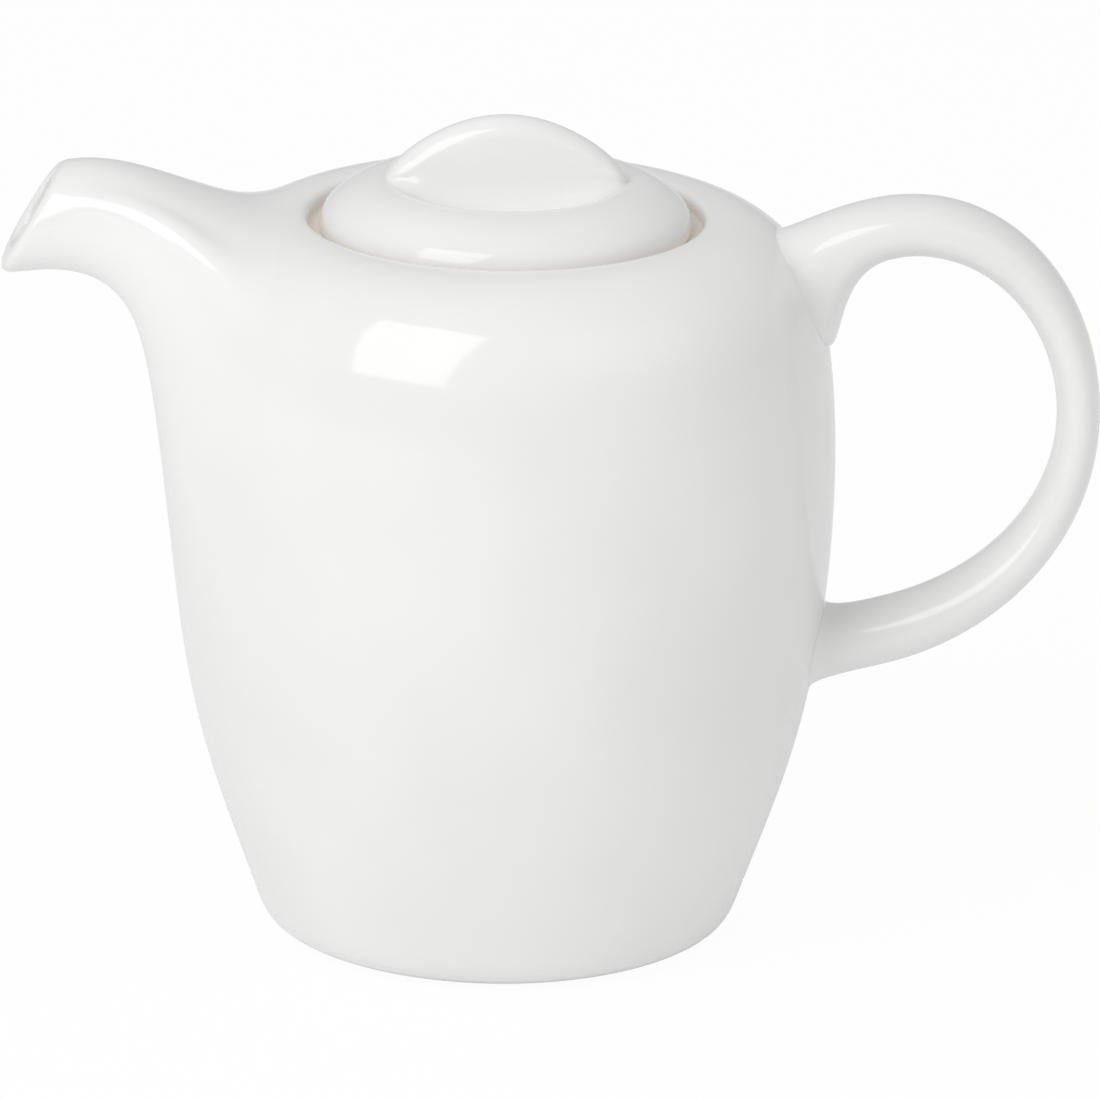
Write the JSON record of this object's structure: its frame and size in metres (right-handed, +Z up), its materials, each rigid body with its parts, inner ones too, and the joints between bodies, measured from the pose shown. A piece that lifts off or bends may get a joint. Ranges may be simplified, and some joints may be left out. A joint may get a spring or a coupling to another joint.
{
  "type": "coffee pot",
  "caption": "White glazed porcelain coffee pot with a slanted beak spout, an ear handle and a loose domed lid that lifts out by an arched finger grip.",
  "frame": {"origin": "centre of the foot ring, on the pot's turning axis, at the surface it stands on", "axes": "+Z up along the pot's axis, +X towards the handle, -X towards the spout"},
  "size_m": [0.1756, 0.1064, 0.1345],
  "materials": {
    "glazed_porcelain": "white porcelain under a clear gloss glaze, bare only on the foot ring and the lid's seat"
  },
  "bodies": {
    "pot": {"pot_body": "glazed_porcelain", "spout": "glazed_porcelain", "handle": "glazed_porcelain"},
    "lid": {"lid": "glazed_porcelain", "lid_grip": "glazed_porcelain"}
  },
  "joints": [
    {"name": "lid_lift", "type": "slide", "parent": "pot", "child": "lid", "axis": [0, 0, 1], "range_m": [0, 0.08]}
  ]
}
